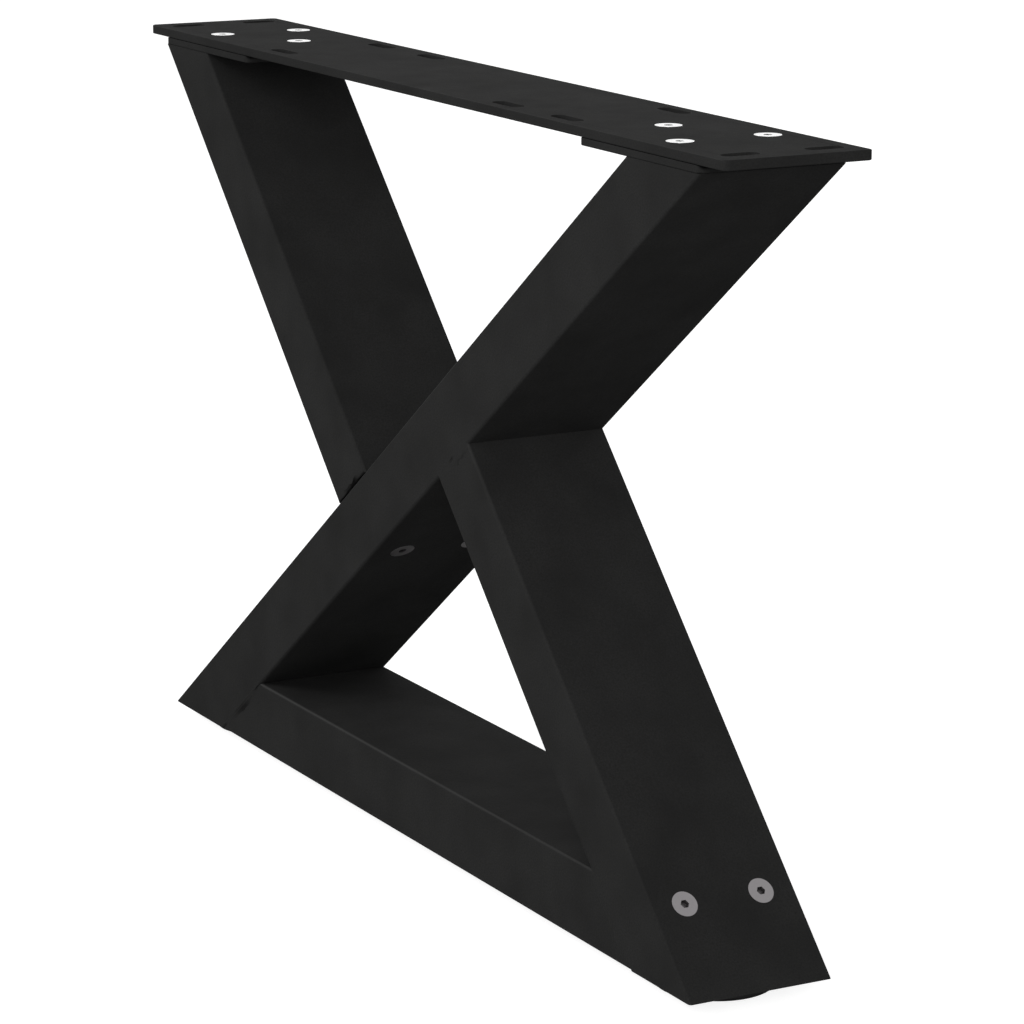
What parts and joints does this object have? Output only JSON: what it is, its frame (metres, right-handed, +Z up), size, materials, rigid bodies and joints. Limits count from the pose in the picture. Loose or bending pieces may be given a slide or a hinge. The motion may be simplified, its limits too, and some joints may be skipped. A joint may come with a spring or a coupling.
{
  "type": "x shaped table leg",
  "caption": "X shaped table leg of bolted rectangular steel tubes with a slotted top plate, a bottom bar and levelling feet.",
  "frame": {"origin": "on the floor, under the middle of the leg", "axes": "+X along the top plate, +Y across it, +Z up"},
  "size_m": [0.644, 0.08, 0.413],
  "materials": {
    "black_steel": "matt black powder coat with a very fine texture",
    "zinc_steel": "dull zinc plating",
    "pad_plastic": "matt black moulded plastic",
    "bright_screw": "bright plated",
    "joint_screw": "grey plated, satin"
  },
  "bodies": {
    "frame": {"top_plate": "black_steel", "left_head_plate": "black_steel", "right_head_plate": "black_steel", "long_diagonal": "black_steel", "upper_short_tube": "black_steel", "lower_short_tube": "black_steel", "bottom_bar": "black_steel", "bar_left_end_plate": "black_steel", "bar_right_end_plate": "black_steel", "lower_tube_end_plate": "black_steel", "upper_tube_end_plate": "black_steel", "left_foot_plate": "black_steel", "right_foot_plate": "black_steel", "left_foot_nut": "zinc_steel", "right_foot_nut": "zinc_steel", "plate_screws": "bright_screw", "joint_screws": "joint_screw"},
    "left_foot": {"left_foot_pad": "pad_plastic", "left_foot_stud": "zinc_steel"},
    "right_foot": {"right_foot_pad": "pad_plastic", "right_foot_stud": "zinc_steel"}
  },
  "joints": [
    {"name": "left_foot_slide", "type": "slide", "parent": "frame", "child": "left_foot", "axis": [0, 0, 1], "range_m": [-0.01, 0]},
    {"name": "right_foot_slide", "type": "slide", "parent": "frame", "child": "right_foot", "axis": [0, 0, 1], "range_m": [-0.01, 0]}
  ]
}
